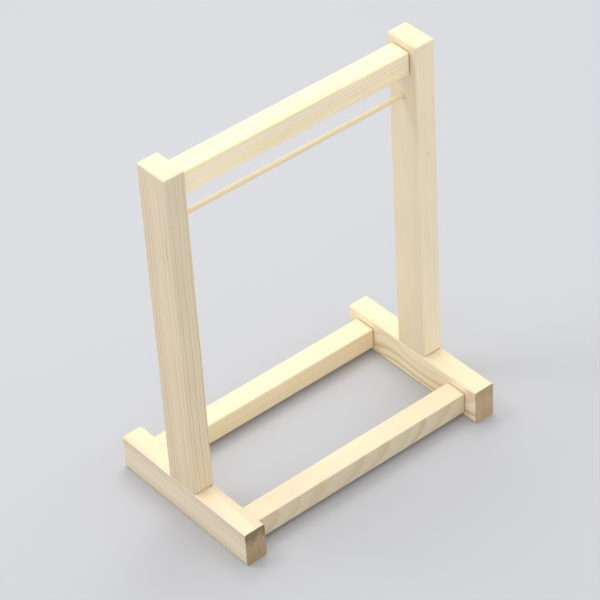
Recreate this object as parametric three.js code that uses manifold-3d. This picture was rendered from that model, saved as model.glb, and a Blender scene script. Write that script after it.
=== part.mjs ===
// Tabletop loom frame of planed softwood: two feet lying front to back, an upright standing on each,
// a crossbar and a thin turning rod between the uprights, and two stretchers between the feet.
// Millimetres. X runs along the crossbar, Y from front to back and Z up.
// The origin is on the table, under the middle of the frame.
// Every bar meets its neighbour end on, held by a pair of dowel pins glued into blind holes.

import * as THREE from 'three';
import { mergeVertices } from 'three/addons/utils/BufferGeometryUtils.js';
import Module from 'manifold-3d';

const wasm = await Module();
wasm.setup();

// ---- Driving sizes ----

// Overall
const CLEAR_WIDTH = 205; // between the inner faces of the feet and of the uprights
const OVERALL_HEIGHT = 314;
const FOOT_LENGTH = 145;

// Feet and uprights, cut from one flat batten
const BATTEN_THICKNESS = 18;
const BATTEN_WIDTH = 30;

// Crossbar
const CROSSBAR_DEPTH = 18;
const CROSSBAR_HEIGHT = 19.5;
const CROSSBAR_DROP = 6; // from the upright tops down to the crossbar's top face

// Stretchers
const STRETCHER_DEPTH = 18.5;
const STRETCHER_HEIGHT = 18.5;
const STRETCHER_LIFT = 4.3; // underside above the table
const FRONT_INSET = 12; // from the feet's front ends to the front stretcher
const BACK_INSET = 10; // from the feet's back ends to the back stretcher

// Rod
const ROD_DIAMETER = 4;
const ROD_DROP = 47.5; // from the upright tops down to the rod's axis
const ROD_CLEARANCE = 0.3; // around the rod in its holes
const ROD_HOLE_DEPTH = 10;
const ROD_END_ROOM = 0.5; // free length past each end of the rod
const ROD_CHAMFER = 0.4;

// Dowel pins
const POST_PIN = { diameter: 6, length: 30 }; // upright to foot
const BAR_PIN = { diameter: 5, length: 25 }; // crossbar and stretchers
const BAR_PIN_DEPTH = 10; // of a bar pin, into the side of the batten it meets
const PIN_CLEARANCE = 0.3; // glue space around a pin
const PIN_END_ROOM = 1; // glue space past each end of a pin
const PIN_CHAMFER = 0.6;
const POST_PIN_SPACING = 16;
const CROSSBAR_PIN_SPACING = 9;
const STRETCHER_PIN_SPACING = 9;

// Edges and seams
const SEAM = 0.3; // glue line between a sawn end and the face it meets
const EDGE_RADIUS = 1.5; // planed long edges of the battens
const BAR_EDGE_RADIUS = 1; // planed long edges of the crossbar and stretchers
const END_EASE = 1; // sanded edges of a visible top or back end

// Facets
const ARC_DIVISIONS = 2;
const ROUND_SEGMENTS = 24;
const PIN_SEGMENTS = 16;
const CUT_OVERRUN = 2; // how far a cutter stands out of the wood

// ---- Finishes ----

const softwood = () => new THREE.MeshStandardMaterial({ color: 0xe6d3a9, roughness: 0.72, metalness: 0 });
const rodWood = () => new THREE.MeshStandardMaterial({ color: 0xe3c283, roughness: 0.62, metalness: 0 });
const pinWood = () => new THREE.MeshStandardMaterial({ color: 0xc9a47a, roughness: 0.7, metalness: 0 });

// ---- Solids ----

// The closed solid of a geometry, for joining and cutting.
function toSolid(geometry) {
  const bare = geometry.clone();
  bare.deleteAttribute('normal');
  bare.deleteAttribute('uv');
  const merged = mergeVertices(bare);
  return new wasm.Manifold(new wasm.Mesh({
    numProp: 3,
    vertProperties: new Float32Array(merged.attributes.position.array),
    triVerts: new Uint32Array(merged.index.array),
  }));
}

// The geometry of a closed solid.
function toGeometry(solid) {
  const mesh = solid.getMesh();
  const geometry = new THREE.BufferGeometry();
  geometry.setAttribute('position', new THREE.BufferAttribute(mesh.vertProperties, 3));
  geometry.setIndex(new THREE.BufferAttribute(mesh.triVerts, 1));
  geometry.computeVertexNormals();
  return geometry;
}

// A geometry with each cutter taken out of it.
function cut(geometry, cutters) {
  const solids = cutters.map(toSolid);
  return toGeometry(solids.reduce((rest, cutter) => rest.subtract(cutter), toSolid(geometry)));
}

// A rectangle with rounded corners, centred on the origin.
function roundedSection(width, height, radius) {
  const x = width / 2 - radius;
  const y = height / 2 - radius;
  const quarter = Math.PI / 2;
  const section = new THREE.Shape();
  section.absarc(x, y, radius, 0, quarter);
  section.absarc(-x, y, radius, quarter, 2 * quarter);
  section.absarc(-x, -y, radius, 2 * quarter, 3 * quarter);
  section.absarc(x, -y, radius, 3 * quarter, 4 * quarter);
  return section;
}

// A bar along Z, centred on the origin, with both ends sawn square.
function sawnBar(width, height, length, radius) {
  const bar = new THREE.ExtrudeGeometry(roundedSection(width, height, radius), {
    depth: length,
    bevelEnabled: false,
    curveSegments: ARC_DIVISIONS,
  });
  bar.translate(0, 0, -length / 2);
  return bar;
}

// The same bar with the edges of its +Z end sanded, and its -Z end sawn square.
function endEasedBar(width, height, length, radius) {
  const bar = new THREE.ExtrudeGeometry(roundedSection(width, height, radius), {
    depth: length - END_EASE,
    bevelThickness: END_EASE,
    bevelSize: END_EASE,
    bevelOffset: -END_EASE,
    bevelSegments: ARC_DIVISIONS,
    curveSegments: ARC_DIVISIONS,
  });
  bar.translate(0, 0, -length / 2);
  const offcut = new THREE.BoxGeometry(width + CUT_OVERRUN, height + CUT_OVERRUN, 2 * END_EASE);
  offcut.translate(0, 0, -length / 2 - END_EASE);
  return cut(bar, [offcut]);
}

// A cutter for a blind hole: from its mouth on a face, along the unit vector inward.
function blindHole(mouth, inward, diameter, depth) {
  const length = depth + CUT_OVERRUN;
  const cutter = new THREE.CylinderGeometry(diameter / 2, diameter / 2, length, ROUND_SEGMENTS);
  cutter.translate(0, length / 2 - CUT_OVERRUN, 0);
  cutter.applyQuaternion(new THREE.Quaternion().setFromUnitVectors(Y_AXIS, inward));
  cutter.translate(mouth.x, mouth.y, mouth.z);
  return cutter;
}

// A round stick along Y, centred on the origin, with chamfered ends.
function chamferedStick(diameter, length, chamfer, segments) {
  const radius = diameter / 2;
  const end = length / 2;
  const profile = [
    new THREE.Vector2(0, -end),
    new THREE.Vector2(radius - chamfer, -end),
    new THREE.Vector2(radius, -end + chamfer),
    new THREE.Vector2(radius, end - chamfer),
    new THREE.Vector2(radius - chamfer, end),
    new THREE.Vector2(0, end),
  ];
  return new THREE.LatheGeometry(profile, segments);
}

// ---- Places ----

const Y_AXIS = new THREE.Vector3(0, 1, 0);
const UP = new THREE.Vector3(0, 0, 1);
const DOWN = new THREE.Vector3(0, 0, -1);
const at = (x, y, z) => new THREE.Vector3(x, y, z);
const sideways = (direction) => new THREE.Vector3(direction, 0, 0);

const SIDES = [{ name: 'left', sign: -1 }, { name: 'right', sign: 1 }];
const INNER_FACE = CLEAR_WIDTH / 2;
const BATTEN_CENTRE = INNER_FACE + BATTEN_THICKNESS / 2;
const BAR_LENGTH = CLEAR_WIDTH - 2 * SEAM;
const FOOT_TOP = BATTEN_WIDTH;
const UPRIGHT_BOTTOM = FOOT_TOP + SEAM;
const UPRIGHT_LENGTH = OVERALL_HEIGHT - UPRIGHT_BOTTOM;
const UPRIGHT_CENTRE = UPRIGHT_BOTTOM + UPRIGHT_LENGTH / 2;
const ROD_HEIGHT = OVERALL_HEIGHT - ROD_DROP;
const ROD_LENGTH = CLEAR_WIDTH + 2 * (ROD_HOLE_DEPTH - ROD_END_ROOM);

// A bar's end joint: where its pins cross the seam, in the frame's own axes.
const CROSSBAR = {
  name: 'crossbar',
  depth: CROSSBAR_DEPTH,
  height: CROSSBAR_HEIGHT,
  y: 0,
  z: OVERALL_HEIGHT - CROSSBAR_DROP - CROSSBAR_HEIGHT / 2,
  pins: [
    { name: 'upper', y: 0, z: CROSSBAR_PIN_SPACING / 2 },
    { name: 'lower', y: 0, z: -CROSSBAR_PIN_SPACING / 2 },
  ],
};
const STRETCHER_PINS = [
  { name: 'a', y: -STRETCHER_PIN_SPACING / 2, z: 0 },
  { name: 'b', y: STRETCHER_PIN_SPACING / 2, z: 0 },
];
const STRETCHER_CENTRE = STRETCHER_LIFT + STRETCHER_HEIGHT / 2;
const STRETCHERS = [
  {
    name: 'stretcher_front',
    depth: STRETCHER_DEPTH,
    height: STRETCHER_HEIGHT,
    y: -FOOT_LENGTH / 2 + FRONT_INSET + STRETCHER_DEPTH / 2,
    z: STRETCHER_CENTRE,
    pins: STRETCHER_PINS,
  },
  {
    name: 'stretcher_back',
    depth: STRETCHER_DEPTH,
    height: STRETCHER_HEIGHT,
    y: FOOT_LENGTH / 2 - BACK_INSET - STRETCHER_DEPTH / 2,
    z: STRETCHER_CENTRE,
    pins: STRETCHER_PINS,
  },
];
const POST_PINS = [
  { name: 'front', y: -POST_PIN_SPACING / 2 },
  { name: 'back', y: POST_PIN_SPACING / 2 },
];

const POST_HOLE_DIAMETER = POST_PIN.diameter + 2 * PIN_CLEARANCE;
const POST_HOLE_DEPTH = POST_PIN.length / 2 - SEAM / 2 + PIN_END_ROOM;
const BAR_HOLE_DIAMETER = BAR_PIN.diameter + 2 * PIN_CLEARANCE;
const BAR_HOLE_DEPTH = BAR_PIN.length - BAR_PIN_DEPTH - SEAM + PIN_END_ROOM;
const SIDE_HOLE_DEPTH = BAR_PIN_DEPTH + PIN_END_ROOM;

// ---- Pieces ----

const group = new THREE.Group();

function addPiece(name, geometry, material, position, parent = group) {
  const mesh = new THREE.Mesh(geometry, material);
  mesh.name = name;
  mesh.position.copy(position);
  parent.add(mesh);
  return mesh;
}

// Holes in the inner face of a batten centred at height z, for the pins of one bar.
function barHolesInBatten(bar, sign, battenZ) {
  const face = -sign * BATTEN_THICKNESS / 2;
  return bar.pins.map((pin) => blindHole(
    at(face, bar.y + pin.y, bar.z + pin.z - battenZ), sideways(sign), BAR_HOLE_DIAMETER, SIDE_HOLE_DEPTH,
  ));
}

// A foot: on edge, sawn at the front, sanded at the back.
function makeFoot(side) {
  const blank = endEasedBar(BATTEN_THICKNESS, BATTEN_WIDTH, FOOT_LENGTH, EDGE_RADIUS);
  blank.rotateX(-Math.PI / 2);
  const postHoles = POST_PINS.map((pin) => blindHole(
    at(0, pin.y, BATTEN_WIDTH / 2), DOWN, POST_HOLE_DIAMETER, POST_HOLE_DEPTH,
  ));
  const barHoles = STRETCHERS.flatMap((bar) => barHolesInBatten(bar, side.sign, BATTEN_WIDTH / 2));
  return cut(blank, [...postHoles, ...barHoles]);
}

// An upright: sawn at the bottom, sanded at the top.
function makeUpright(side) {
  const blank = endEasedBar(BATTEN_THICKNESS, BATTEN_WIDTH, UPRIGHT_LENGTH, EDGE_RADIUS);
  const postHoles = POST_PINS.map((pin) => blindHole(
    at(0, pin.y, -UPRIGHT_LENGTH / 2), UP, POST_HOLE_DIAMETER, POST_HOLE_DEPTH,
  ));
  const rodHole = blindHole(
    at(-side.sign * BATTEN_THICKNESS / 2, 0, ROD_HEIGHT - UPRIGHT_CENTRE),
    sideways(side.sign),
    ROD_DIAMETER + 2 * ROD_CLEARANCE,
    ROD_HOLE_DEPTH,
  );
  const barHoles = barHolesInBatten(CROSSBAR, side.sign, UPRIGHT_CENTRE);
  return cut(blank, [...postHoles, rodHole, ...barHoles]);
}

// The crossbar or a stretcher: both ends sawn, with pin holes in the end grain.
function makeBar(bar) {
  const blank = sawnBar(bar.height, bar.depth, BAR_LENGTH, BAR_EDGE_RADIUS);
  blank.rotateY(Math.PI / 2);
  const holes = SIDES.flatMap((side) => bar.pins.map((pin) => blindHole(
    at(side.sign * BAR_LENGTH / 2, pin.y, pin.z), sideways(-side.sign), BAR_HOLE_DIAMETER, BAR_HOLE_DEPTH,
  )));
  return cut(blank, holes);
}

for (const side of SIDES) {
  const stand = new THREE.Group();
  stand.position.x = side.sign * BATTEN_CENTRE;
  group.add(stand);
  addPiece(`foot_${side.name}`, makeFoot(side), softwood(), at(0, 0, BATTEN_WIDTH / 2), stand);
  addPiece(`upright_${side.name}`, makeUpright(side), softwood(), at(0, 0, UPRIGHT_CENTRE), stand);
  for (const pin of POST_PINS) {
    const stick = chamferedStick(POST_PIN.diameter, POST_PIN.length, PIN_CHAMFER, PIN_SEGMENTS);
    const place = at(0, pin.y, FOOT_TOP + SEAM / 2);
    addPiece(`pin_foot_${side.name}_${pin.name}`, stick, pinWood(), place, stand).rotation.x = Math.PI / 2;
  }
}

for (const bar of [CROSSBAR, ...STRETCHERS]) {
  const rail = new THREE.Group();
  rail.position.set(0, bar.y, bar.z);
  group.add(rail);
  addPiece(bar.name, makeBar(bar), softwood(), at(0, 0, 0), rail);
  for (const side of SIDES) {
    const middle = side.sign * (INNER_FACE + BAR_PIN_DEPTH - BAR_PIN.length / 2);
    for (const pin of bar.pins) {
      const stick = chamferedStick(BAR_PIN.diameter, BAR_PIN.length, PIN_CHAMFER, PIN_SEGMENTS);
      const name = `pin_${bar.name}_${side.name}_${pin.name}`;
      addPiece(name, stick, pinWood(), at(middle, pin.y, pin.z), rail).rotation.z = Math.PI / 2;
    }
  }
}

const rodStick = chamferedStick(ROD_DIAMETER, ROD_LENGTH, ROD_CHAMFER, ROUND_SEGMENTS);
addPiece('rod', rodStick, rodWood(), at(0, 0, ROD_HEIGHT)).rotation.z = Math.PI / 2;

export default group;
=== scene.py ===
"""Finishes a tabletop loom frame: planed softwood bars, a rod that turns, fluted dowel pins and a studio.

Metres, with X along the crossbar, Y from front to back and Z up. The sizes of the bars, rod and pins all
come from the frame's own solids, so each piece lies where its solid lies.
"""

import math

import bpy
from mathutils import Euler, Matrix, Vector


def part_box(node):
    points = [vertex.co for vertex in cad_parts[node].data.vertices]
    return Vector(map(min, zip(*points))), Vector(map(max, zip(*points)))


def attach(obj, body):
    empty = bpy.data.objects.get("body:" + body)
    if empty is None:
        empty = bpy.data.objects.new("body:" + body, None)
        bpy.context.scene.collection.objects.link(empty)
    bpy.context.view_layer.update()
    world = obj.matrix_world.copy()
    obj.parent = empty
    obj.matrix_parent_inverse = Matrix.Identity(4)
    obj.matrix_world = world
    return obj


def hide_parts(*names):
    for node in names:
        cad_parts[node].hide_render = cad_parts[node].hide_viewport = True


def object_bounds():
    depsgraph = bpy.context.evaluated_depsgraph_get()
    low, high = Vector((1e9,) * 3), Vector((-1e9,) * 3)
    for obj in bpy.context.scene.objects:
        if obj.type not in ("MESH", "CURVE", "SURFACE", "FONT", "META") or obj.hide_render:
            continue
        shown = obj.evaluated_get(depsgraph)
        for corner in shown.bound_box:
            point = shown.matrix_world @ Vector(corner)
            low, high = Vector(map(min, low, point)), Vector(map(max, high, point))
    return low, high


bl_info = {
    "name": "Tabletop Loom Frame",
    "version": (1, 0, 0),
    "blender": (4, 5, 0),
    "location": "3D View > Sidebar > Loom",
    "description": "Builds the wooden bars, rod and dowel pins of a tabletop loom frame",
    "category": "Add Mesh",
}

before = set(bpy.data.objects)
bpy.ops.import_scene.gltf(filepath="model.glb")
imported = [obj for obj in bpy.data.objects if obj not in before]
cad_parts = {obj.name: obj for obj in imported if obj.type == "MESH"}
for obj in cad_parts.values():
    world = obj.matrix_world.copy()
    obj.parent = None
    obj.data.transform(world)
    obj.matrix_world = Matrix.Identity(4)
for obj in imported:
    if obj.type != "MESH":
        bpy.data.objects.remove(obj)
CAD_LOW, CAD_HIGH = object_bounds()
CAD_CENTRE = (CAD_LOW + CAD_HIGH) / 2

MM = 0.001
PINS = sorted(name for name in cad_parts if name.startswith("pin_"))

# A bar, rod or pin is made along its own Z and then turned to lie along X, Y or Z.
TURNS = {
    "X": Euler((0, math.pi / 2, 0)),
    "Y": Euler((-math.pi / 2, 0, 0)),
    "Z": Euler((0, 0, 0)),
}

NO_MARK = {"at": (0, 0, 1), "size": (MM, MM, MM), "dark": 0.0}

# How a board was sawn from its log, in its own axes.
# heart: where the log's heart lay. ring: how wide its growth rings are. late: how dark they are at the
# board's start and end. wander: how much they wander along it. slope: how far the grain leans, in radians.
# tone, late_tone: what its early and late wood are multiplied by. seed: picks its own noise.
# start_sawn, end_sawn: how dark and rough its ends are. bruise: how stained a foot's ends are near the top.
# flat: painted light and shade, how much paler, or below 0 darker, its two faces across the thickness are.
# top_lines: how much stronger a foot's rings are near the top. resin: how yellow its streaks are. mark: a
# blemish's place, half size and darkness.
ANY_CUT = {
    "slope": (0, 0), "tone": (1, 1, 1), "late_tone": (1, 1, 1), "start_sawn": 1.0, "end_sawn": 1.0,
    "bruise": 0.0, "flat": 0.0, "top_lines": 0.0, "resin": 0.25, "mark": NO_MARK,
}
BOARDS = {
    "foot_left": {
        **ANY_CUT, "seed": 3.0, "heart": (0.015, 0.14), "ring": 2.5 * MM, "late": (1.0, 0.95),
        "wander": 1.6 * MM, "slope": (0.006, 0), "tone": (0.985, 1.0, 1.02), "late_tone": (0.95, 0.92, 1.08),
        "end_sawn": 0.2, "bruise": 1.0, "flat": 0.03, "top_lines": 1.0,
    },
    "foot_right": {
        **ANY_CUT, "seed": 11.0, "heart": (0.10, -0.014), "ring": 1.7 * MM, "late": (0.72, 0.66),
        "wander": 7 * MM, "slope": (-0.02, 0.015), "tone": (1.11, 1.12, 1.10), "late_tone": (1.2, 1.05, 0.85),
        "start_sawn": 0.9, "end_sawn": 0.2, "bruise": 0.3,
    },
    "upright_left": {
        **ANY_CUT, "seed": 5.0, "heart": (-0.09, 0.075), "ring": 2.1 * MM, "late": (0.9, 0.4),
        "wander": 2.4 * MM, "slope": (0.004, 0.006), "tone": (0.895, 0.90, 0.895),
        "late_tone": (1.1, 0.98, 0.92), "end_sawn": 0.1, "flat": 0.04,
        "mark": {"at": (-0.009, -0.0105, 0.081), "size": (2 * MM, 0.8 * MM, 11 * MM), "dark": 0.45},
    },
    "upright_right": {
        **ANY_CUT, "seed": 7.0, "heart": (0.16, 0.01), "ring": 4.4 * MM, "late": (0.16, 0.12),
        "wander": 2 * MM, "tone": (1.06, 1.07, 1.06), "end_sawn": 0.1, "flat": -0.08,
        "mark": {"at": (0.0, -0.0153, 0.0466), "size": (0.8 * MM, 1.2 * MM, 1.8 * MM), "dark": 0.7},
    },
    "crossbar": {
        **ANY_CUT, "seed": 2.0, "heart": (0.1312, 0.03), "ring": 2.1 * MM, "late": (0.12, 0.68),
        "wander": 1.6 * MM, "slope": (0, 0.03), "tone": (1.19, 1.20, 1.20), "late_tone": (1.22, 1.0, 0.82),
        "resin": 0.8,
    },
    "stretcher_front": {
        **ANY_CUT, "seed": 17.0, "heart": (-0.007, 0.036), "ring": 4.0 * MM, "late": (0.52, 0.48),
        "wander": 8 * MM, "slope": (0.16, 0.03), "tone": (0.835, 0.845, 0.83), "late_tone": (1.0, 0.93, 0.82),
    },
    "stretcher_back": {
        **ANY_CUT, "seed": 23.0, "heart": (-0.11, 0.02), "ring": 2.9 * MM, "late": (0.22, 0.40),
        "wander": 2.6 * MM, "slope": (0, 0.012), "tone": (1.10, 1.07, 0.99), "late_tone": (1.2, 1.05, 0.85),
    },
}
ROD_CUT = {
    **ANY_CUT, "seed": 29.0, "heart": (0.02, 0.006), "ring": 1.1 * MM, "late": (0.5, 0.4),
    "wander": 1.5 * MM, "slope": (0.0, 0.01), "start_sawn": 0.8, "end_sawn": 0.8,
}
PIN_CUT = {
    **ANY_CUT, "seed": 40.0, "ring": 1.6 * MM, "late": (0.35, 0.35),
    "wander": 1 * MM, "slope": (0.0, 0.02), "start_sawn": 0.8, "end_sawn": 0.8,
}

PIN_HEART = 0.03
PIN_SHIFT = 0.01  # from one pin to the next, the heart moves by this
PIN_CUTS = 4  # and after this many pins it starts again


# ---- Sizes and colours that a user would change ----


LENGTH = {"subtype": "DISTANCE", "unit": "LENGTH", "precision": 5}
COLOUR = {"size": 3, "min": 0, "max": 1, "subtype": "COLOR"}


class LoomBarSettings(bpy.types.PropertyGroup):
    """How the bars are planed, sanded and sawn."""

    batten_edge: bpy.props.FloatProperty(
        name="Batten Edge",
        description="Radius of the long edges of the feet and uprights",
        default=1.6 * MM, min=0.3 * MM, **LENGTH,
    )
    bar_edge: bpy.props.FloatProperty(
        name="Bar Edge",
        description="Radius of the long edges of the crossbar and stretchers",
        default=1.0 * MM, min=0.3 * MM, **LENGTH,
    )
    sanded_end: bpy.props.FloatProperty(
        name="Sanded End",
        description="Rounding round a sanded end, at an upright's top or a foot's back",
        default=1.5 * MM, min=0.1 * MM, **LENGTH,
    )
    sawn_end: bpy.props.FloatProperty(
        name="Sawn End",
        description="Rounding round an end that is left as sawn",
        default=0.15 * MM, min=0.05 * MM, **LENGTH,
    )
    edge_wander: bpy.props.FloatProperty(
        name="Edge Wander",
        description="How much a hand-sanded edge's radius changes along it",
        default=0.18, min=0.0, max=0.3, subtype="FACTOR",
    )
    saw_marks: bpy.props.FloatProperty(
        name="Saw Marks",
        description="Depth of the marks in a sawn end",
        default=0.12 * MM, min=0.0, **LENGTH,
    )
    crossbar_skew: bpy.props.FloatProperty(
        name="Crossbar Skew",
        description="How far the front of the crossbar's right end stands off its upright",
        default=0.9 * MM, min=0.0, **LENGTH,
    )


class LoomStickSettings(bpy.types.PropertyGroup):
    """The rod and the dowel pins."""

    flutes: bpy.props.IntProperty(
        name="Flutes", description="Glue grooves round a dowel pin", default=12, min=0, max=24,
    )
    flute_depth: bpy.props.FloatProperty(
        name="Flute Depth", description="Depth of a glue groove",
        default=0.25 * MM, min=0.0, **LENGTH,
    )
    pin_chamfer: bpy.props.FloatProperty(
        name="Pin Chamfer", description="Chamfer at the ends of a dowel pin",
        default=0.6 * MM, min=0.0, **LENGTH,
    )
    rod_chamfer: bpy.props.FloatProperty(
        name="Rod Chamfer", description="Chamfer at the ends of the rod",
        default=0.4 * MM, min=0.0, **LENGTH,
    )
    rod_wobble: bpy.props.FloatProperty(
        name="Rod Wobble", description="How unevenly the rod is turned, as a share of its radius",
        default=0.03, min=0.0, max=0.1, subtype="FACTOR",
    )
    hole_clearance: bpy.props.FloatProperty(
        name="Hole Clearance", description="Free space round a pin or the rod in its hole",
        default=0.3 * MM, min=0.05 * MM, **LENGTH,
    )
    hole_end_room: bpy.props.FloatProperty(
        name="Hole End Room", description="Free space past the end of a pin in its hole",
        default=1.0 * MM, min=0.0, **LENGTH,
    )
    rod_end_room: bpy.props.FloatProperty(
        name="Rod End Room", description="Free space past the end of the rod in its hole",
        default=0.5 * MM, min=0.0, **LENGTH,
    )


class LoomWoodSettings(bpy.types.PropertyGroup):
    """The colours of the woods."""

    early: bpy.props.FloatVectorProperty(
        name="Early Wood", description="The pale part of a softwood growth ring",
        default=(0.85, 0.735, 0.54), **COLOUR,
    )
    late: bpy.props.FloatVectorProperty(
        name="Late Wood", description="The dark part of a softwood growth ring",
        default=(0.57, 0.42, 0.27), **COLOUR,
    )
    # Painted top light: the shared colour that faces which look up take in place of their early wood.
    painted_top_light: bpy.props.FloatVectorProperty(
        name="Bleached Wood", description="The early wood of faces that look up",
        default=(0.845, 0.71, 0.50), **COLOUR,
    )
    end: bpy.props.FloatVectorProperty(
        name="End Grain", description="What a sawn end's darkness multiplies the wood by",
        default=(0.50, 0.44, 0.39), **COLOUR,
    )
    rod_early: bpy.props.FloatVectorProperty(
        name="Rod Early Wood", description="The pale part of the rod's wood",
        default=(0.88, 0.76, 0.50), **COLOUR,
    )
    rod_late: bpy.props.FloatVectorProperty(
        name="Rod Late Wood", description="The dark part of the rod's wood",
        default=(0.70, 0.50, 0.26), **COLOUR,
    )
    pin_early: bpy.props.FloatVectorProperty(
        name="Pin Early Wood", description="The pale part of a beech pin",
        default=(0.60, 0.42, 0.26), **COLOUR,
    )
    pin_late: bpy.props.FloatVectorProperty(
        name="Pin Late Wood", description="The dark part of a beech pin",
        default=(0.40, 0.24, 0.13), **COLOUR,
    )


class LoomStageSettings(bpy.types.PropertyGroup):
    """The camera, floor and light."""

    azimuth: bpy.props.FloatProperty(
        name="Azimuth", description="Which way the camera looks, from along +Y",
        default=math.radians(-37.746), subtype="ANGLE", unit="ROTATION",
    )
    elevation: bpy.props.FloatProperty(
        name="Elevation", description="How far above the table the camera looks from",
        default=math.radians(39.293), subtype="ANGLE", unit="ROTATION",
    )
    roll: bpy.props.FloatProperty(
        name="Roll", description="How far the camera is tipped about the way it looks",
        default=math.radians(-3.669), subtype="ANGLE", unit="ROTATION",
    )
    distance: bpy.props.FloatProperty(
        name="Distance", description="From the camera to the point it looks at",
        default=2.016, min=0.1, subtype="DISTANCE", unit="LENGTH",
    )
    aim: bpy.props.FloatVectorProperty(
        name="Aim", description="The point that the camera looks at, from the middle of the frame",
        default=(-0.0072, -0.0074, -0.0125), size=3, subtype="XYZ", unit="LENGTH",
    )
    lens: bpy.props.FloatProperty(
        name="Lens", description="Focal length of the camera, in millimetres", default=168.4, min=10,
    )
    floor: bpy.props.FloatVectorProperty(
        name="Floor", description="Colour of the floor",
        default=(0.50, 0.505, 0.528), **COLOUR,
    )
    sky: bpy.props.FloatProperty(
        name="Sky", description="Strength of the soft light from all round", default=1.0, min=0,
    )
    right_softbox: bpy.props.FloatProperty(
        name="Right Softbox", description="Power of the softbox behind and to the right, in watts",
        default=8.6, min=0,
    )
    left_softbox: bpy.props.FloatProperty(
        name="Left Softbox", description="Power of the softbox behind and to the left, in watts",
        default=3.8, min=0,
    )


# ---- Helpers for node trees ----


class Nodes:
    """Adds nodes to a shader or geometry tree, and joins them."""

    def __init__(self, tree):
        self.tree = tree

    def add(self, kind, **settings):
        node = self.tree.nodes.new(kind)
        for name, value in settings.items():
            setattr(node, name, value)
        return node

    def feed(self, socket, value):
        """Gives an input a constant or another node's output."""
        if isinstance(value, bpy.types.NodeSocket):
            self.tree.links.new(value, socket)
        elif value is not None:
            socket.default_value = value

    def fill(self, node, **values):
        """Feeds a node's inputs by name, with _ for each space, and returns the node."""
        for name, value in values.items():
            self.feed(node.inputs[name.replace("_", " ")], value)
        return node

    def math(self, operation, *values):
        node = self.add("ShaderNodeMath", operation=operation)
        for socket, value in zip(node.inputs, values):
            self.feed(socket, value)
        return node.outputs[0]

    def plus(self, first, second):
        return self.math("ADD", first, second)

    def less(self, first, second):
        return self.math("SUBTRACT", first, second)

    def times(self, first, second):
        return self.math("MULTIPLY", first, second)

    def over(self, first, second):
        return self.math("DIVIDE", first, second)

    def rest(self, value):
        """What is left of 1."""
        return self.less(1.0, value)

    def vector(self, operation, *values, out=0, scale=None):
        node = self.add("ShaderNodeVectorMath", operation=operation)
        for socket, value in zip(node.inputs, values):
            self.feed(socket, value)
        if scale is not None:
            self.feed(node.inputs["Scale"], scale)
        return node.outputs[out]

    def split(self, vector):
        node = self.fill(self.add("ShaderNodeSeparateXYZ"), Vector=vector)
        return list(node.outputs)

    def merge(self, x, y, z):
        return self.fill(self.add("ShaderNodeCombineXYZ"), X=x, Y=y, Z=z).outputs[0]

    def blend(self, factor, first, second):
        """first where factor is 0, second where it is 1, for numbers."""
        node = self.add("ShaderNodeMix", data_type="FLOAT")
        for socket, value in zip((node.inputs[0], node.inputs[2], node.inputs[3]), (factor, first, second)):
            self.feed(socket, value)
        return node.outputs[0]

    def tint(self, factor, first, second, kind="MIX"):
        """The same for colours, mixed in the way that kind says."""
        node = self.add("ShaderNodeMix", data_type="RGBA", blend_type=kind)
        for socket, value in zip((node.inputs[0], node.inputs[6], node.inputs[7]), (factor, first, second)):
            self.feed(socket, value)
        return node.outputs[2]

    def step(self, value, low, high):
        """0 below low and 1 above high, with a smooth rise between."""
        node = self.add("ShaderNodeMapRange", interpolation_type="SMOOTHSTEP")
        self.fill(node, Value=value, From_Min=low, From_Max=high)
        return node.outputs[0]

    def noise(self, vector, seed, detail=1.0, roughness=0.5):
        """Noise of about one unit's size, from 0 to 1."""
        node = self.add("ShaderNodeTexNoise", noise_dimensions="4D")
        self.fill(node, Vector=vector, W=seed, Scale=1.0, Detail=detail, Roughness=roughness)
        return node.outputs[0]

    def noise_colour(self, vector, seed, detail=1.0):
        node = self.add("ShaderNodeTexNoise", noise_dimensions="4D")
        self.fill(node, Vector=vector, W=seed, Scale=1.0, Detail=detail)
        return node.outputs[1]


def new_tree(name, kind, inputs, outputs):
    """A node group with named sockets: (tree, Nodes, inputs by name, the output node)."""
    tree = bpy.data.node_groups.new(name, kind)
    for socket_name, socket_type, default in inputs:
        socket = tree.interface.new_socket(socket_name, in_out="INPUT", socket_type=socket_type)
        if default is not None:
            socket.default_value = default
    for socket_name, socket_type in outputs:
        tree.interface.new_socket(socket_name, in_out="OUTPUT", socket_type=socket_type)
    nodes = Nodes(tree)
    given = nodes.add("NodeGroupInput")
    return tree, nodes, {socket.name: socket for socket in given.outputs}, nodes.add("NodeGroupOutput")


def run_tree(name, tree, values):
    """Runs a geometry tree with these inputs and returns its result as a plain mesh object."""
    holder = bpy.data.objects.new(name + "_maker", bpy.data.meshes.new(name + "_maker"))
    bpy.context.scene.collection.objects.link(holder)
    modifier = holder.modifiers.new(tree.name, "NODES")
    modifier.node_group = tree
    for item in tree.interface.items_tree:
        if item.in_out == "INPUT" and item.name in values:
            modifier[item.identifier] = values[item.name]
    bpy.context.view_layer.update()
    evaluated = holder.evaluated_get(bpy.context.evaluated_depsgraph_get())
    mesh = bpy.data.meshes.new_from_object(evaluated)
    mesh.name = name
    bpy.data.objects.remove(holder)
    piece = bpy.data.objects.new(name, mesh)
    bpy.context.scene.collection.objects.link(piece)
    return piece


# ---- Shapes ----

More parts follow.
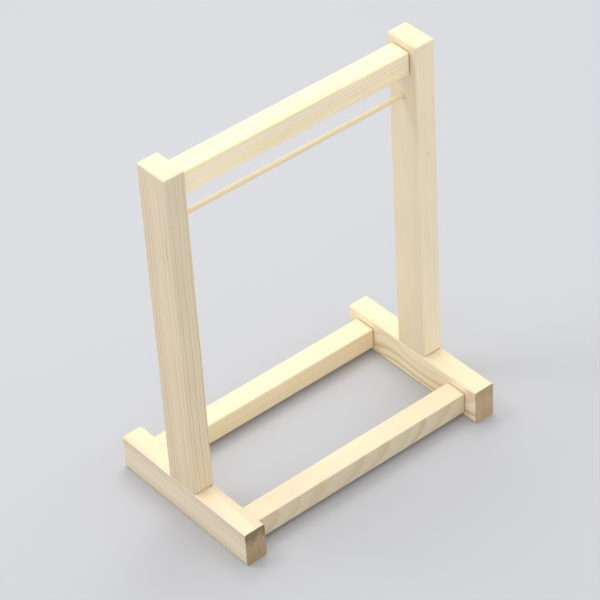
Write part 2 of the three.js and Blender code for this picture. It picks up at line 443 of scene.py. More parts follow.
EDGE_STEPS = 5  # across each rounded edge
SUPPORT = 0.7 * MM  # from a rounded edge to the loop that keeps the flat beside it flat
BOTH_EDGES = 2 * (EDGE_STEPS + 1)
WIDTH_STEPS = BOTH_EDGES + 9
HEIGHT_STEPS = BOTH_EDGES + 13
LENGTH_STEP = 4 * MM
SKEW_REACH = 12 * MM  # how far from a skewed end the bar starts to shorten
CRISP_ANGLE = math.radians(32)  # a corner sharper than this is shaded as an edge
HOLE_FACETS = 32
ROD_FACETS = 48
ROD_STEPS = 90
PIN_FACETS = 24
FLUTE_FACETS = 6
PIN_STEPS = 10
STICK_SEED = 4.0


def spread(nodes, place, steps, size, low_zone, high_zone):
    """Where a cube's vertex, at place from -0.5 to 0.5, goes along one axis of a bar of that size.

    The steps are close inside each edge zone, where the edge will be rounded, with one support loop past
    it and even steps between.
    """
    index = nodes.math("ROUND", nodes.times(nodes.plus(place, 0.5), steps))
    from_end = nodes.less(steps, index)

    def in_zone(count, zone):
        left = nodes.rest(nodes.over(count, EDGE_STEPS))
        turn = nodes.times(nodes.math("MAXIMUM", left, 0.0), math.pi / 4)
        return nodes.times(zone, nodes.rest(nodes.math("TANGENT", turn)))

    between_zones = nodes.less(size, nodes.plus(low_zone, high_zone))
    flat = nodes.less(between_zones, 2 * SUPPORT)
    even_steps = nodes.less(steps, BOTH_EDGES)
    share = nodes.over(nodes.less(index, EDGE_STEPS + 1), even_steps)
    middle = nodes.plus(nodes.times(share, flat), nodes.plus(low_zone, SUPPORT))
    near_low = nodes.math("LESS_THAN", index, EDGE_STEPS + 0.5)
    near_high = nodes.math("LESS_THAN", from_end, EDGE_STEPS + 0.5)
    along = nodes.blend(near_low, middle, in_zone(index, low_zone))
    along = nodes.blend(near_high, along, nodes.less(size, in_zone(from_end, high_zone)))
    return nodes.less(along, nodes.times(size, 0.5))


def planed_bar_tree():
    """A bar along Z with rounded long edges, eased ends and blind holes, turned and put in its place."""
    tree, nodes, given, result = new_tree(
        "Planed Bar",
        "GeometryNodeTree",
        [
            ("Width", "NodeSocketFloat", 0.018),
            ("Height", "NodeSocketFloat", 0.03),
            ("Length", "NodeSocketFloat", 0.2),
            ("Length Steps", "NodeSocketInt", 60),
            ("Edge", "NodeSocketFloat", 0.0015),
            ("Edge Wander", "NodeSocketFloat", 0.15),
            ("Start Ease", "NodeSocketFloat", 0.0002),
            ("End Ease", "NodeSocketFloat", 0.001),
            ("Saw Marks", "NodeSocketFloat", 0.0001),
            ("End Skew", "NodeSocketFloat", 0.0),
            ("Seed", "NodeSocketFloat", 0.0),
            ("Turn", "NodeSocketVector", None),
            ("Centre", "NodeSocketVector", None),
            ("Holes", "NodeSocketObject", None),
            ("Wood", "NodeSocketMaterial", None),
        ],
        [("Geometry", "NodeSocketGeometry")],
    )
    cube = nodes.fill(
        nodes.add("GeometryNodeMeshCube"),
        Size=(1, 1, 1), Vertices_X=WIDTH_STEPS + 1, Vertices_Y=HEIGHT_STEPS + 1,
        Vertices_Z=nodes.plus(given["Length Steps"], 1),
    )
    cube_x, cube_y, cube_z = nodes.split(nodes.add("GeometryNodeInputPosition").outputs[0])
    x = spread(nodes, cube_x, WIDTH_STEPS, given["Width"], given["Edge"], given["Edge"])
    y = spread(nodes, cube_y, HEIGHT_STEPS, given["Height"], given["Edge"], given["Edge"])
    z = spread(nodes, cube_z, given["Length Steps"], given["Length"], given["Start Ease"], given["End Ease"])
    half_x = nodes.times(given["Width"], 0.5)
    half_y = nodes.times(given["Height"], 0.5)
    half_z = nodes.times(given["Length"], 0.5)

    # Each long edge has its own slightly changing radius.
    along = nodes.merge(
        nodes.times(nodes.math("SIGN", x), 9.0),
        nodes.times(nodes.math("SIGN", y), 9.0),
        nodes.times(z, 35.0),
    )
    change = nodes.times(nodes.less(nodes.noise(along, given["Seed"]), 0.5), 2.0)
    wander = nodes.times(change, given["Edge Wander"])
    radius = nodes.times(given["Edge"], nodes.plus(1.0, wander))

    # The long edges: a vertex past the edge's centre line is pushed out from it to the radius.
    def nearest(value, half):
        limit = nodes.less(half, radius)
        return nodes.math("MAXIMUM", nodes.math("MINIMUM", value, limit), nodes.times(limit, -1.0))

    core = nodes.merge(nearest(x, half_x), nearest(y, half_y), 0.0)
    past = nodes.vector("SUBTRACT", nodes.merge(x, y, 0.0), core)
    outward = nodes.vector("NORMALIZE", past)
    past_x, past_y, _ = nodes.split(nodes.vector("ABSOLUTE", past))
    reach = nodes.math("MAXIMUM", past_x, past_y)

    # The ends: the same in the plane of the outward direction and the length.
    inset = nodes.less(radius, reach)
    at_end = nodes.math("GREATER_THAN", z, 0.0)
    ease = nodes.math("MINIMUM", nodes.blend(at_end, given["Start Ease"], given["End Ease"]), radius)
    depth = nodes.less(half_z, nodes.math("ABSOLUTE", z))
    side_left = nodes.math("MAXIMUM", nodes.less(ease, inset), 0.0)
    end_left = nodes.math("MAXIMUM", nodes.less(ease, depth), 0.0)
    lean_x, lean_y, _ = nodes.split(nodes.vector("NORMALIZE", nodes.merge(side_left, end_left, 0.0)))
    lean = nodes.math("MAXIMUM", side_left, end_left)
    draw_in = nodes.less(side_left, nodes.times(lean_x, lean))
    draw_down = nodes.less(end_left, nodes.times(lean_y, lean))
    from_core = nodes.vector("SCALE", outward, scale=nodes.less(reach, draw_in))
    section_x, section_y, _ = nodes.split(nodes.vector("ADD", core, from_core))

    # Saw marks at the start, and a sawn end that isn't quite square.
    kerf = nodes.merge(nodes.times(x, 900.0), nodes.times(y, 260.0), 0.0)
    marks = nodes.noise(kerf, given["Seed"], 3.0)
    at_start = nodes.rest(nodes.step(nodes.plus(z, half_z), 0.0, 1.5 * MM))
    raised = nodes.times(nodes.times(marks, given["Saw Marks"]), at_start)
    front = nodes.less(0.5, nodes.over(y, given["Height"]))
    last = nodes.step(nodes.less(half_z, z), SKEW_REACH, 0.0)
    cut_back = nodes.times(nodes.times(front, given["End Skew"]), last)
    z = nodes.less(z, nodes.times(nodes.math("SIGN", z), draw_down))
    z = nodes.less(nodes.plus(z, raised), cut_back)

    shaped = nodes.fill(
        nodes.add("GeometryNodeSetPosition"),
        Geometry=cube.outputs["Mesh"], Position=nodes.merge(section_x, section_y, z),
    )
    holes = nodes.fill(nodes.add("GeometryNodeObjectInfo", transform_space="ORIGINAL"), Object=given["Holes"])
    drilled = nodes.add("GeometryNodeMeshBoolean", operation="DIFFERENCE", solver="EXACT")
    nodes.feed(drilled.inputs["Mesh 1"], put_in_place(nodes, shaped.outputs[0], given))
    nodes.feed(drilled.inputs["Mesh 2"], holes.outputs["Geometry"])
    finish_shape(nodes, drilled.outputs["Mesh"], given["Wood"], result)
    return tree


def put_in_place(nodes, geometry, given):
    """Turns a shape that was made along Z, and moves it to its centre."""
    turn = nodes.fill(nodes.add("FunctionNodeEulerToRotation"), Euler=given["Turn"])
    placed = nodes.add("GeometryNodeTransform")
    nodes.fill(placed, Geometry=geometry, Translation=given["Centre"], Rotation=turn.outputs[0])
    return placed.outputs[0]


def finish_shape(nodes, geometry, wood, result):
    """Smooth shading that keeps sharp corners sharp, then the material."""
    smooth = nodes.add("GeometryNodeSetShadeSmooth", domain="FACE")
    nodes.fill(smooth, Geometry=geometry, Shade_Smooth=True)
    angle = nodes.add("GeometryNodeInputMeshEdgeAngle").outputs["Unsigned Angle"]
    sharp = nodes.math("GREATER_THAN", angle, CRISP_ANGLE)
    crisp = nodes.add("GeometryNodeSetShadeSmooth", domain="EDGE")
    nodes.fill(crisp, Geometry=smooth.outputs[0], Selection=sharp, Shade_Smooth=False)
    real = nodes.fill(nodes.add("GeometryNodeRealizeInstances"), Geometry=crisp.outputs[0])
    painted = nodes.fill(nodes.add("GeometryNodeSetMaterial"), Geometry=real.outputs[0], Material=wood)
    nodes.feed(result.inputs[0], painted.outputs[0])


def turned_stick_tree():
    """A round stick along Z with chamfered ends and glue grooves, turned and put in its place."""
    tree, nodes, given, result = new_tree(
        "Turned Stick",
        "GeometryNodeTree",
        [
            ("Diameter", "NodeSocketFloat", 0.006),
            ("Length", "NodeSocketFloat", 0.03),
            ("Facets", "NodeSocketInt", 48),
            ("Length Steps", "NodeSocketInt", 12),
            ("Chamfer", "NodeSocketFloat", 0.0006),
            ("Flutes", "NodeSocketInt", 12),
            ("Flute Depth", "NodeSocketFloat", 0.0),
            ("Wobble", "NodeSocketFloat", 0.0),
            ("Seed", "NodeSocketFloat", 0.0),
            ("Turn", "NodeSocketVector", None),
            ("Centre", "NodeSocketVector", None),
            ("Wood", "NodeSocketMaterial", None),
        ],
        [("Geometry", "NodeSocketGeometry")],
    )
    stick = nodes.fill(
        nodes.add("GeometryNodeMeshCylinder"),
        Vertices=given["Facets"], Side_Segments=given["Length Steps"], Radius=1.0, Depth=1.0,
    )
    x, y, z = nodes.split(nodes.add("GeometryNodeInputPosition").outputs[0])
    steps = given["Length Steps"]
    index = nodes.math("ROUND", nodes.times(nodes.plus(z, 0.5), steps))
    from_end = nodes.math("MINIMUM", index, nodes.less(steps, index))
    body = nodes.less(given["Length"], nodes.times(given["Chamfer"], 2.0))
    share = nodes.over(nodes.less(index, 1.0), nodes.less(steps, 2.0))
    inner = nodes.times(nodes.less(share, 0.5), body)
    outer = nodes.times(nodes.math("SIGN", z), nodes.times(given["Length"], 0.5))
    at_end = nodes.math("LESS_THAN", from_end, 0.5)
    along = nodes.blend(at_end, inner, outer)
    radius = nodes.times(given["Diameter"], 0.5)
    uneven = nodes.noise(nodes.merge(x, y, nodes.times(along, 60.0)), given["Seed"], 2.0)
    turned = nodes.rest(nodes.times(uneven, given["Wobble"]))
    angle = nodes.times(nodes.math("ARCTAN2", y, x), given["Flutes"])
    groove = nodes.math("POWER", nodes.math("MAXIMUM", nodes.math("COSINE", angle), 0.0), 1.5)
    radius = nodes.times(radius, turned)
    radius = nodes.less(radius, nodes.times(groove, given["Flute Depth"]))
    radius = nodes.less(radius, nodes.times(at_end, given["Chamfer"]))
    shaped = nodes.fill(
        nodes.add("GeometryNodeSetPosition"),
        Geometry=stick.outputs["Mesh"],
        Position=nodes.merge(nodes.times(x, radius), nodes.times(y, radius), along),
    )
    finish_shape(nodes, put_in_place(nodes, shaped.outputs[0], given), given["Wood"], result)
    return tree


def named_tree(name, make):
    """The tree of that name, made the first time that a piece needs it."""
    return bpy.data.node_groups.get(name) or make()


def longest_axis(size):
    return "XYZ"[max(range(3), key=lambda i: size[i])]


def own_size(size, axis):
    """A box's size in the axes of the piece: across, across, along."""
    turned = TURNS[axis].to_matrix().inverted() @ Vector(size)
    return Vector(abs(value) for value in turned)


def lie_of(node):
    """How a CAD node lies: its centre, the axis that it runs along, and its size across, across and along."""
    low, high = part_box(node)
    axis = longest_axis(high - low)
    return (low + high) / 2, axis, own_size(high - low, axis)


def boxes_meet(first, second):
    return all(first[0][i] < second[1][i] and second[0][i] < first[1][i] for i in range(3))


def drill_holes(node, sticks):
    """A cutter object for the holes that a bar has for its pins and the rod."""
    cutters = bpy.data.meshes.new(node + "_holes")
    points, faces = [], []
    for name in PINS + ["rod"]:
        if not boxes_meet(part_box(node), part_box(name)):
            continue
        centre, axis, size = lie_of(name)
        room = sticks.rod_end_room if name == "rod" else sticks.hole_end_room
        radius = size.x / 2 + sticks.hole_clearance
        half = size.z / 2 + room
        turn = TURNS[axis].to_matrix()
        first = len(points)
        for end in (-half, half):
            for k in range(HOLE_FACETS):
                angle = 2 * math.pi * k / HOLE_FACETS
                point = Vector((radius * math.cos(angle), radius * math.sin(angle), end))
                points.append(turn @ point + centre)
        far = first + HOLE_FACETS
        for k in range(HOLE_FACETS):
            after = (k + 1) % HOLE_FACETS
            faces.append((first + k, first + after, far + after, far + k))
        faces.append(tuple(first + k for k in reversed(range(HOLE_FACETS))))
        faces.append(tuple(far + k for k in range(HOLE_FACETS)))
    cutters.from_pydata([tuple(p) for p in points], [], faces)
    cutter = bpy.data.objects.new(node + "_holes", cutters)
    bpy.context.scene.collection.objects.link(cutter)
    return cutter


def make_bar(context, node, edge, start_ease, end_ease, skew=0.0):
    """One planed bar in the place of its CAD node."""
    scene = context.scene
    bars = scene.loom_bars
    centre, axis, size = lie_of(node)
    holes = drill_holes(node, scene.loom_sticks)
    piece = run_tree("planed_" + node, named_tree("Planed Bar", planed_bar_tree), {
        "Width": size.x,
        "Height": size.y,
        "Length": size.z,
        "Length Steps": BOTH_EDGES + round(size.z / LENGTH_STEP),
        "Edge": edge,
        "Edge Wander": bars.edge_wander,
        "Start Ease": start_ease,
        "End Ease": end_ease,
        "Saw Marks": bars.saw_marks,
        "End Skew": skew,
        "Seed": BOARDS[node]["seed"],
        "Turn": tuple(TURNS[axis]),
        "Centre": tuple(centre),
        "Holes": holes,
        "Wood": softwood(node, centre, TURNS[axis], size, scene.loom_wood),
    })
    bpy.data.objects.remove(holes)
    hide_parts(node)
    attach(piece, "frame")
    return piece


def make_stick(node, body, wood, facets, steps, chamfer, flutes=0, flute_depth=0.0, wobble=0.0):
    """One round stick in the place of its CAD node."""
    centre, axis, size = lie_of(node)
    piece = run_tree("turned_" + node, named_tree("Turned Stick", turned_stick_tree), {
        "Diameter": size.x,
        "Length": size.z,
        "Facets": facets,
        "Length Steps": steps,
        "Chamfer": chamfer,
        "Flutes": flutes,
        "Flute Depth": flute_depth,
        "Wobble": wobble,
        "Seed": STICK_SEED,
        "Turn": tuple(TURNS[axis]),
        "Centre": tuple(centre),
        "Wood": wood,
    })
    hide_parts(node)
    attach(piece, body)
    return piece


# ---- Materials ----

# What these multiply the wood's colour by.
RESIN = (1.0, 0.995, 0.76, 1.0)
RED_STREAK = (1.08, 0.95, 0.91, 1.0)
GREEN_STREAK = (0.88, 0.93, 0.86, 1.0)

RING_RISE = (0.30, 0.88)  # where in a ring its late wood starts, and where it is darkest
RING_FALL = (0.90, 1.0)  # where the late wood ends
# How strongly faces that look up take the painted top light, and how far it fades their rings.
PAINTED_TOP_LIGHT = 0.95
PAINTED_TOP_FAINT_RINGS = 0.85
RESIN_STREAKS = (0.42, 0.70)
END_DEPTH = (0.1 * MM, 0.7 * MM)  # how deep a sawn end's look goes
# Within the first distance of an edge its rubbing and painted highlight are full, and they fade out by the
# second.
EDGE_WEAR_AND_HIGHLIGHT = (0.2 * MM, 1.6 * MM)
WOOD_SPECULAR = 0.35
WOOD_RELIEF = 0.15 * MM  # the height that a bump of 1 stands for


def planed_wood_group():
    """Growth rings round the log's heart, fibres along the grain, and darker, rougher ends."""
    tree, nodes, given, result = new_tree(
        "Planed Wood",
        "ShaderNodeTree",
        [
            ("Board", "NodeSocketVector", None),
            ("Grain", "NodeSocketVector", None),
            ("Half Size", "NodeSocketVector", None),
            ("Heart", "NodeSocketVector", None),
            ("Ring Width", "NodeSocketFloat", 0.003),
            ("Wander", "NodeSocketFloat", 0.002),
            ("Late at Start", "NodeSocketFloat", 0.5),
            ("Late at End", "NodeSocketFloat", 0.5),
            ("Early Wood", "NodeSocketColor", None),
            ("Late Wood", "NodeSocketColor", None),
            ("Bleached Wood", "NodeSocketColor", None),
            ("End Grain", "NodeSocketColor", None),
            ("Start Sawn", "NodeSocketFloat", 1.0),
            ("End Sawn", "NodeSocketFloat", 1.0),
            ("Bruise", "NodeSocketFloat", 0.0),
            ("Flat Faces", "NodeSocketFloat", 0.0),
            ("Top Lines", "NodeSocketFloat", 0.0),
            ("Resin", "NodeSocketFloat", 0.3),
            ("Mark", "NodeSocketVector", None),
            ("Mark Size", "NodeSocketVector", None),
            ("Mark Darkness", "NodeSocketFloat", 0.0),
            ("Seed", "NodeSocketFloat", 0.0),
        ],
        [("Colour", "NodeSocketColor"), ("Roughness", "NodeSocketFloat"), ("Height", "NodeSocketFloat")],
    )
    board, log, seed = given["Board"], given["Grain"], given["Seed"]
    _, board_y, board_z = nodes.split(board)
    _, half_y, half_z = nodes.split(given["Half Size"])

    def grain(across, along, detail=1.0, shift=0.0, roughness=0.5):
        """Noise with this many marks to the metre across and along the grain."""
        scaled = nodes.vector("MULTIPLY", log, (across, across, along))
        return nodes.noise(scaled, nodes.plus(seed, shift), detail, roughness)

    # Rings, counted outwards from the heart.
    bend = nodes.noise_colour(nodes.vector("MULTIPLY", log, (16.0, 16.0, 14.0)), seed)
    bend = nodes.vector("SCALE", nodes.vector("SUBTRACT", bend, (0.5, 0.5, 0.5)), scale=given["Wander"])
    from_heart = nodes.vector("ADD", nodes.vector("SUBTRACT", log, given["Heart"]), bend)
    distance = nodes.vector("LENGTH", nodes.vector("MULTIPLY", from_heart, (1.0, 1.0, 0.0)), out=1)
    rings = nodes.over(distance, given["Ring Width"])
    drift = nodes.noise(nodes.merge(nodes.times(rings, 0.45), 0.0, 0.0), seed)
    ripple = grain(420.0, 14.0, 2.0, 7.0)
    from_mark = nodes.vector("DIVIDE", nodes.vector("SUBTRACT", board, given["Mark"]), given["Mark Size"])
    from_mark = nodes.vector("LENGTH", from_mark, out=1)
    bulge = nodes.rest(nodes.step(from_mark, 0.0, 4.0))
    phase = nodes.plus(rings, nodes.times(drift, 1.6))
    phase = nodes.plus(phase, nodes.times(ripple, 0.12))
    phase = nodes.plus(phase, nodes.times(bulge, given["Mark Darkness"]))
    part = nodes.math("FRACT", phase)
    rise = nodes.step(part, *RING_RISE)
    fall = nodes.step(part, *RING_FALL)
    late = nodes.less(rise, fall)
    number = nodes.math("FLOOR", phase)
    year = nodes.add("ShaderNodeTexWhiteNoise", noise_dimensions="2D")
    nodes.feed(year.inputs["Vector"], nodes.merge(number, seed, 0.0))
    good_year = nodes.plus(nodes.times(year.outputs["Value"], 0.75), 0.25)
    late = nodes.times(late, good_year)

    # Fibres, strands, mottling and flecks.
    fibre = nodes.less(grain(1500.0, 30.0, 3.0, 1.0, 0.6), 0.5)
    strand = nodes.less(grain(360.0, 8.0, 2.0, 2.0), 0.5)
    mottle = nodes.less(grain(34.0, 13.0, 2.0, 3.0), 0.5)
    fleck = nodes.step(grain(900.0, 70.0, 0.0, 4.0), 0.74, 0.82)

    # Painted top light: faces that look up take one shared colour and their rings fade, standing in for the
    # overhead light washing them out.
    up = nodes.split(nodes.add("ShaderNodeNewGeometry").outputs["True Normal"])[2]
    painted_top_light = nodes.times(nodes.step(up, 0.3, 0.95), PAINTED_TOP_LIGHT)
    late = nodes.times(late, nodes.rest(nodes.times(painted_top_light, PAINTED_TOP_FAINT_RINGS)))

    # How dark the rings are along and up the board, and what else darkens it.
    spot = nodes.rest(nodes.step(from_mark, 0.55, 1.0))
    share = nodes.plus(nodes.times(nodes.over(board_z, half_z), 0.5), 0.5)
    share = nodes.blend(share, given["Late at Start"], given["Late at End"])
    share = nodes.times(share, nodes.plus(0.55, grain(60.0, 9.0, 1.0, 8.0)))
    high = nodes.over(nodes.times(board_y, -1.0), half_y)
    upper = nodes.times(nodes.step(high, 0.35, 0.8), given["Top Lines"])
    share = nodes.times(share, nodes.plus(1.0, upper))
    dark = nodes.times(late, share)
    dark = nodes.plus(dark, nodes.times(fleck, 0.08))
    dark = nodes.plus(dark, nodes.times(strand, 0.10))
    dark = nodes.plus(dark, nodes.times(spot, given["Mark Darkness"]))
    dark = nodes.math("MAXIMUM", dark, 0.0)

    # The ground between the rings, with resin in streaks, and painted light and shade on the faces across the
    # thickness.
    ground = nodes.tint(painted_top_light, given["Early Wood"], given["Bleached Wood"])
    resin = nodes.times(nodes.step(grain(130.0, 5.0, 1.0, 9.0), *RESIN_STREAKS), given["Resin"])
    ground = nodes.tint(resin, ground, nodes.tint(1.0, ground, RESIN, "MULTIPLY"))
    colour = nodes.tint(dark, ground, given["Late Wood"])
    value = nodes.plus(1.0, nodes.times(fibre, 0.22))
    value = nodes.plus(value, nodes.times(mottle, 0.14))
    spare = nodes.vector("SUBTRACT", given["Half Size"], nodes.vector("ABSOLUTE", board))
    spare_x, spare_y, spare_z = nodes.split(spare)
    # Painted light and shade: the two faces across the thickness are made paler, or darker below 0, as the
    # lamps fall on them.
    flat = nodes.step(nodes.less(spare_y, spare_x), -1.0 * MM, 1.0 * MM)
    value = nodes.plus(value, nodes.times(flat, given["Flat Faces"]))
    colour = nodes.vector("SCALE", colour, scale=value)

    # A sawn end drinks in the light, and the saw leaves streaks down it and a stain at its top.
    end = nodes.rest(nodes.step(spare_z, *END_DEPTH))
    sawn = nodes.blend(nodes.math("GREATER_THAN", board_z, 0.0), given["Start Sawn"], given["End Sawn"])
    end = nodes.times(end, sawn)
    streak = nodes.noise(nodes.vector("MULTIPLY", board, (900.0, 70.0, 0.0)), given["Seed"], 3.0)
    hue = nodes.tint(nodes.step(streak, 0.38, 0.62), RED_STREAK, GREEN_STREAK)
    crossed = nodes.tint(1.0, nodes.tint(0.5, colour, given["Early Wood"]), given["End Grain"], "MULTIPLY")
    crossed = nodes.tint(1.0, crossed, hue, "MULTIPLY")
    blot = nodes.noise(nodes.vector("MULTIPLY", board, (150.0, 120.0, 0.0)), given["Seed"], 3.0, 0.6)
    stain = nodes.plus(blot, nodes.times(high, 0.40))
    stain = nodes.times(nodes.step(stain, 0.58, 0.78), given["Bruise"])
    pores = grain(2600.0, 400.0, 2.0, 5.0, 0.7)
    end_value = nodes.plus(nodes.times(pores, 0.7), nodes.times(stain, -0.40))
    end_value = nodes.plus(end_value, nodes.times(streak, 1.0))
    crossed = nodes.vector("SCALE", crossed, scale=nodes.plus(end_value, 0.22))
    colour = nodes.tint(end, colour, crossed)

    # Rubbed edges are a little smoother, and paler partly from the rubbing and partly as a painted highlight.
    near_edge = nodes.math("MAXIMUM", spare_x, spare_y)
    wear_and_highlight = nodes.rest(nodes.step(near_edge, *EDGE_WEAR_AND_HIGHLIGHT))
    wear_and_highlight = nodes.times(wear_and_highlight, grain(260.0, 40.0, 2.0, 6.0))
    colour = nodes.vector("SCALE", colour, scale=nodes.plus(1.0, nodes.times(wear_and_highlight, 0.10)))
    nodes.feed(result.inputs["Colour"], colour)

    rough = nodes.plus(0.60, nodes.times(fibre, 0.25))
    rough = nodes.less(rough, nodes.times(late, 0.10))
    rough = nodes.plus(rough, nodes.times(end, 0.25))
    rough = nodes.less(rough, nodes.times(wear_and_highlight, 0.12))
    nodes.feed(result.inputs["Roughness"], rough)

    planed = nodes.plus(nodes.times(late, 0.35), nodes.times(fibre, 0.55))
    height = nodes.blend(end, planed, nodes.times(pores, 2.5))
    nodes.feed(result.inputs["Height"], height)
    return tree


def toned(colour, tone=(1, 1, 1)):
    return tuple(min(1.0, part * share) for part, share in zip(colour, tone)) + (1.0,)


def wood_material(name, centre, turn, size, cut, colours, bump):
    """A wood whose grain runs along the piece, wherever it lies."""
    material = bpy.data.materials.new(name)
    material.use_nodes = True
    nodes = Nodes(material.node_tree)
    shader = material.node_tree.nodes["Principled BSDF"]
    place = nodes.add("ShaderNodeTexCoord").outputs["Object"]
    board = nodes.add("ShaderNodeMapping", vector_type="TEXTURE")
    nodes.fill(board, Vector=place, Location=tuple(centre), Rotation=tuple(turn))
    sloped = nodes.add("ShaderNodeMapping", vector_type="POINT")
    nodes.fill(sloped, Vector=board.outputs[0], Rotation=(cut["slope"][0], cut["slope"][1], 0.0))
    wood = nodes.add("ShaderNodeGroup", node_tree=named_tree("Planed Wood", planed_wood_group))
    early, late, painted_top_light, end = colours
    nodes.fill(
        wood,
        Board=board.outputs[0], Grain=sloped.outputs[0],
        Half_Size=tuple(size / 2), Heart=(cut["heart"][0], cut["heart"][1], 0.0),
        Ring_Width=cut["ring"], Wander=cut["wander"], Seed=cut["seed"],
        Late_at_Start=cut["late"][0], Late_at_End=cut["late"][1],
        Start_Sawn=cut["start_sawn"], End_Sawn=cut["end_sawn"], Bruise=cut["bruise"], Flat_Faces=cut["flat"],
        Top_Lines=cut["top_lines"], Resin=cut["resin"],
        Mark=cut["mark"]["at"], Mark_Size=cut["mark"]["size"], Mark_Darkness=cut["mark"]["dark"],
        Early_Wood=toned(early, cut["tone"]), Late_Wood=toned(late, cut["late_tone"]),
        Bleached_Wood=toned(painted_top_light), End_Grain=toned(end),
    )
    relief = nodes.add("ShaderNodeBump")
    nodes.fill(relief, Strength=bump, Distance=WOOD_RELIEF, Height=wood.outputs["Height"])
    nodes.feed(shader.inputs["Base Color"], wood.outputs["Colour"])
    nodes.feed(shader.inputs["Roughness"], wood.outputs["Roughness"])
    nodes.feed(shader.inputs["Normal"], relief.outputs[0])
    shader.inputs["Specular IOR Level"].default_value = WOOD_SPECULAR
    return material


def softwood(node, centre, turn, size, woods):
    colours = (woods.early, woods.late, woods.painted_top_light, woods.end)
    return wood_material("softwood_" + node, centre, turn, size, BOARDS[node], colours, bump=0.7)


def stick_wood(name, node, cut, early, late, end):
    """The wood of a round stick, whose painted top light keeps its early colour and only fades its rings."""
    centre, axis, size = lie_of(node)
    return wood_material(name, centre, TURNS[axis], size, cut, (early, late, early, end), bump=0.5)


# ---- Operators ----


class LOOM_OT_feet(bpy.types.Operator):
    """Make the two feet, sawn at the front and sanded at the back."""

    bl_idname = "loom.feet"
    bl_label = "Feet"

    def execute(self, context):
        bars = context.scene.loom_bars
        for node in ("foot_left", "foot_right"):
            make_bar(context, node, bars.batten_edge, bars.sawn_end, bars.sanded_end)
        return {"FINISHED"}


class LOOM_OT_uprights(bpy.types.Operator):
    """Make the two uprights, sawn at the bottom and sanded at the top."""

    bl_idname = "loom.uprights"
    bl_label = "Uprights"

    def execute(self, context):
        bars = context.scene.loom_bars
        for node in ("upright_left", "upright_right"):
            make_bar(context, node, bars.batten_edge, bars.sawn_end, bars.sanded_end)
        return {"FINISHED"}


class LOOM_OT_crossbar(bpy.types.Operator):
    """Make the crossbar, whose right end was sawn a little out of square."""

    bl_idname = "loom.crossbar"
    bl_label = "Crossbar"

    def execute(self, context):
        bars = context.scene.loom_bars
        make_bar(context, "crossbar", bars.bar_edge, bars.sawn_end, bars.sawn_end, bars.crossbar_skew)
        return {"FINISHED"}


class LOOM_OT_stretchers(bpy.types.Operator):
    """Make the two stretchers between the feet."""

    bl_idname = "loom.stretchers"
    bl_label = "Stretchers"

    def execute(self, context):
        bars = context.scene.loom_bars
        for node in ("stretcher_front", "stretcher_back"):
            make_bar(context, node, bars.bar_edge, bars.sawn_end, bars.sawn_end)
        return {"FINISHED"}


class LOOM_OT_rod(bpy.types.Operator):
    """Make the thin rod that turns in the uprights."""

    bl_idname = "loom.rod"
    bl_label = "Rod"

    def execute(self, context):
        sticks, woods = context.scene.loom_sticks, context.scene.loom_wood
        wood = stick_wood("rod_wood", "rod", ROD_CUT, woods.rod_early, woods.rod_late, woods.end)
        make_stick(
            "rod", "rod", wood, ROD_FACETS, ROD_STEPS, sticks.rod_chamfer,
            wobble=sticks.rod_wobble,
        )
        return {"FINISHED"}


class LOOM_OT_dowel_pins(bpy.types.Operator):
    """Make the fluted pins that hold the joints."""

    bl_idname = "loom.dowel_pins"
    bl_label = "Dowel Pins"

    def execute(self, context):
        sticks, woods = context.scene.loom_sticks, context.scene.loom_wood
        facets = max(PIN_FACETS, sticks.flutes * FLUTE_FACETS)
        for number, node in enumerate(PINS):
            heart = (PIN_HEART, PIN_SHIFT * (number % PIN_CUTS))
            cut = {**PIN_CUT, "heart": heart, "seed": PIN_CUT["seed"] + number}
            wood = stick_wood("beech_" + node, node, cut, woods.pin_early, woods.pin_late, woods.end)
            make_stick(
                node, "frame", wood, facets, PIN_STEPS, sticks.pin_chamfer,
                flutes=sticks.flutes, flute_depth=sticks.flute_depth,
            )
        return {"FINISHED"}


class LOOM_OT_stage(bpy.types.Operator):
    """Make the camera, the pale floor and the soft light."""

    bl_idname = "loom.stage"
    bl_label = "Stage"

    def execute(self, context):
        settings = context.scene.loom_stage
        make_camera(context.scene, settings)
        make_floor(context.scene, settings)
        make_light(context.scene, settings)
        return {"FINISHED"}


SENSOR_WIDTH = 36.0
FLOOR_HALF = 4.0
# Each softbox's size, and its place from the middle of the loom.
RIGHT_SIZE = 0.9
RIGHT_PLACE = (0.42, 0.45, 1.35)
LEFT_SIZE = 0.45
LEFT_PLACE = (-0.55, 0.5, 1.2)


def make_camera(scene, settings):
    ahead = Vector((
        -math.sin(settings.azimuth) * math.cos(settings.elevation),
        math.cos(settings.azimuth) * math.cos(settings.elevation),
        -math.sin(settings.elevation),
    ))
    level = ahead.cross(Vector((0, 0, 1))).normalized()
    over = level.cross(ahead)
    right = math.cos(settings.roll) * level + math.sin(settings.roll) * over
    up = math.cos(settings.roll) * over - math.sin(settings.roll) * level
    data = bpy.data.cameras.new("camera")
    data.lens = settings.lens
    data.sensor_width = SENSOR_WIDTH
    camera = bpy.data.objects.new("camera", data)
    scene.collection.objects.link(camera)
    turn = Matrix((right, up, -ahead)).transposed().to_4x4()
    aim = CAD_CENTRE + Vector(settings.aim)
    camera.matrix_world = Matrix.Translation(aim - ahead * settings.distance) @ turn
    scene.camera = camera


def make_floor(scene, settings):
    mesh = bpy.data.meshes.new("floor")
    corners = [(x * FLOOR_HALF, y * FLOOR_HALF, CAD_LOW.z) for x, y in ((-1, -1), (1, -1), (1, 1), (-1, 1))]
    mesh.from_pydata(corners, [], [(0, 1, 2, 3)])
    floor = bpy.data.objects.new("floor", mesh)
    scene.collection.objects.link(floor)
    material = bpy.data.materials.new("floor_paper")
    material.use_nodes = True
    shader = material.node_tree.nodes["Principled BSDF"]
    shader.inputs["Base Color"].default_value = (*settings.floor, 1.0)
    shader.inputs["Roughness"].default_value = 0.9
    shader.inputs["Specular IOR Level"].default_value = 0.1
    mesh.materials.append(material)


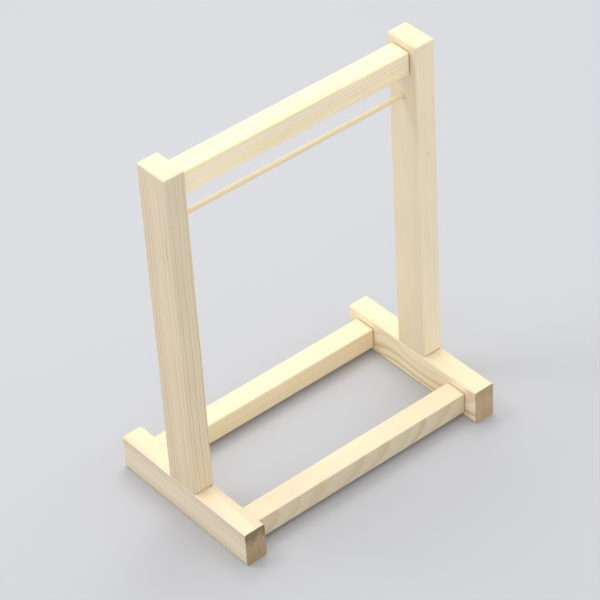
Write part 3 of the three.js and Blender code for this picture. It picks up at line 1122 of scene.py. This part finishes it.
def make_softbox(scene, name, power, size, place):
    """A square softbox that looks at the loom from this place, from the loom's middle."""
    data = bpy.data.lights.new(name, "AREA")
    data.shape = "SQUARE"
    data.size = size
    data.energy = power
    softbox = bpy.data.objects.new(name, data)
    scene.collection.objects.link(softbox)
    away = Vector(place)
    turn = away.to_track_quat("Z", "Y").to_matrix().to_4x4()
    softbox.matrix_world = Matrix.Translation(CAD_CENTRE + away) @ turn


def make_light(scene, settings):
    world = bpy.data.worlds.new("soft_light")
    world.use_nodes = True
    background = world.node_tree.nodes["Background"]
    background.inputs["Color"].default_value = (1.0, 1.0, 1.0, 1.0)
    background.inputs["Strength"].default_value = settings.sky
    scene.world = world
    make_softbox(scene, "right_softbox", settings.right_softbox, RIGHT_SIZE, RIGHT_PLACE)
    make_softbox(scene, "left_softbox", settings.left_softbox, LEFT_SIZE, LEFT_PLACE)
    scene.view_settings.view_transform = "Standard"


class LOOM_PT_panel(bpy.types.Panel):
    """The loom frame's pieces, in the order that they are made."""

    bl_idname = "LOOM_PT_panel"
    bl_label = "Loom Frame"
    bl_space_type = "VIEW_3D"
    bl_region_type = "UI"
    bl_category = "Loom"

    def draw(self, context):
        for name in ("loom_bars", "loom_sticks", "loom_wood", "loom_stage"):
            settings = getattr(context.scene, name)
            box = self.layout.box()
            for prop in settings.bl_rna.properties:
                if prop.identifier not in ("rna_type", "name"):
                    box.prop(settings, prop.identifier)
        for operator in OPERATORS:
            self.layout.operator(operator.bl_idname)


SETTINGS = {
    "loom_bars": LoomBarSettings,
    "loom_sticks": LoomStickSettings,
    "loom_wood": LoomWoodSettings,
    "loom_stage": LoomStageSettings,
}
OPERATORS = (
    LOOM_OT_stage,
    LOOM_OT_feet,
    LOOM_OT_uprights,
    LOOM_OT_crossbar,
    LOOM_OT_stretchers,
    LOOM_OT_rod,
    LOOM_OT_dowel_pins,
)


def register():
    for cls in (*SETTINGS.values(), *OPERATORS, LOOM_PT_panel):
        bpy.utils.register_class(cls)
    for name, cls in SETTINGS.items():
        setattr(bpy.types.Scene, name, bpy.props.PointerProperty(type=cls))


def unregister():
    for name in SETTINGS:
        delattr(bpy.types.Scene, name)
    for cls in reversed((*SETTINGS.values(), *OPERATORS, LOOM_PT_panel)):
        bpy.utils.unregister_class(cls)


def main():
    register()
    for operator in OPERATORS:
        group, name = operator.bl_idname.split(".")
        getattr(getattr(bpy.ops, group), name)()


if __name__ == "__main__":
    main()
